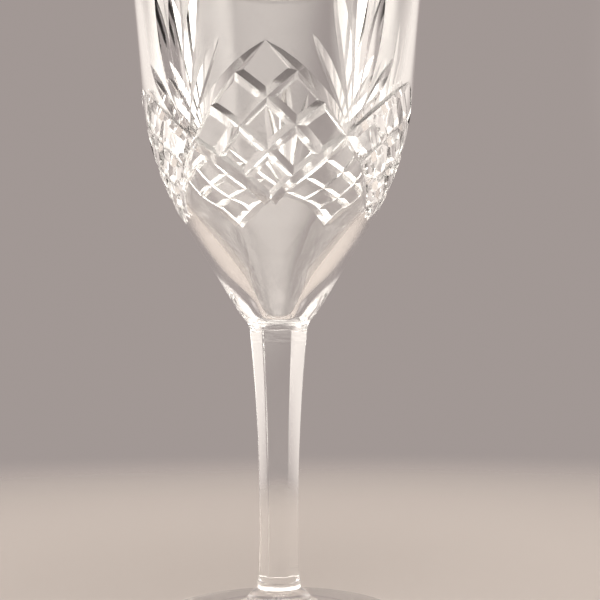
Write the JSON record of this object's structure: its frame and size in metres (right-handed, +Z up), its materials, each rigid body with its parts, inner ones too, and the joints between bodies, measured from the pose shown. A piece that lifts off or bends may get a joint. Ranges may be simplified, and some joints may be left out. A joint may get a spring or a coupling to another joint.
{
  "type": "wine glass",
  "caption": "Clear cut-crystal wine glass with a fan and diamond cut bowl, a faceted stem and a round foot, for serving red wine.",
  "frame": {"origin": "centre of the foot's underside, on the surface that the glass stands on", "axes": "+Z up along the glass's axis; -Y is the side that the picture shows, +X to its right"},
  "size_m": [0.0828, 0.0828, 0.185],
  "materials": {
    "crystal": "polished clear colourless crystal, with mitre cuts polished to the same gloss"
  },
  "bodies": {
    "root": {"foot": "crystal", "knop": "crystal", "stem": "crystal", "collar": "crystal", "bowl": "crystal"}
  },
  "joints": []
}
